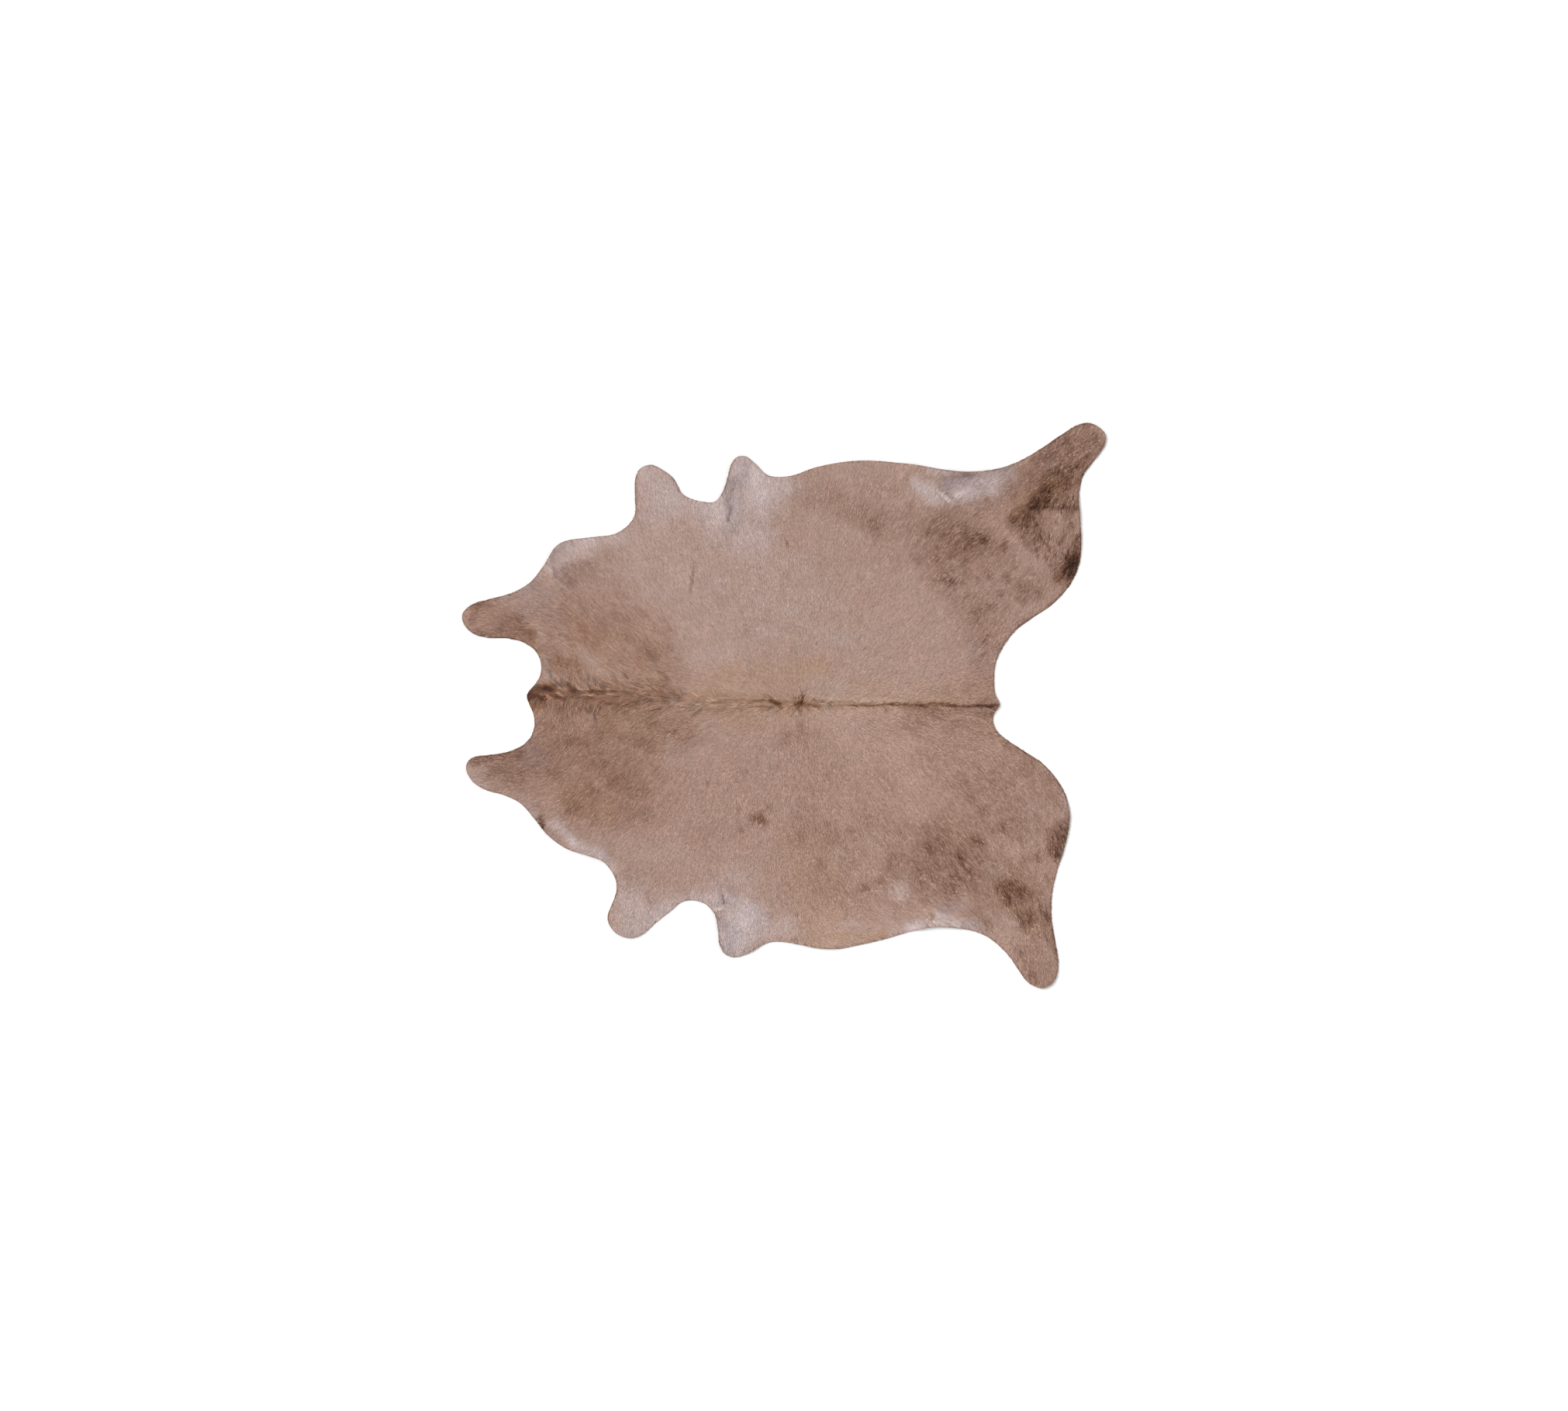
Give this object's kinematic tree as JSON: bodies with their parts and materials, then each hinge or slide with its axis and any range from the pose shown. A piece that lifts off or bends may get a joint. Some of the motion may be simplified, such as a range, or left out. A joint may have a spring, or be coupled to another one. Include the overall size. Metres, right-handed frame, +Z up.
{
  "type": "cowhide rug",
  "caption": "Whole hair-on hide laid flat as a floor rug, with neck lobes, short fore legs, long hind legs, brushed mane line along the back and puckered armpits and groins.",
  "frame": {"origin": "under the middle of the hide's bounding box, on the surface that it lies on", "axes": "+X along the back from the neck to the tail, +Y to the animal's right side, +Z up, out of the hair side"},
  "size_m": [2.2984, 2.0192, 0.0189],
  "materials": {
    "hair_on_hide": "short matt hair, taupe with brown and rust areas"
  },
  "bodies": {
    "root": {"hide": "hair_on_hide"}
  },
  "joints": []
}
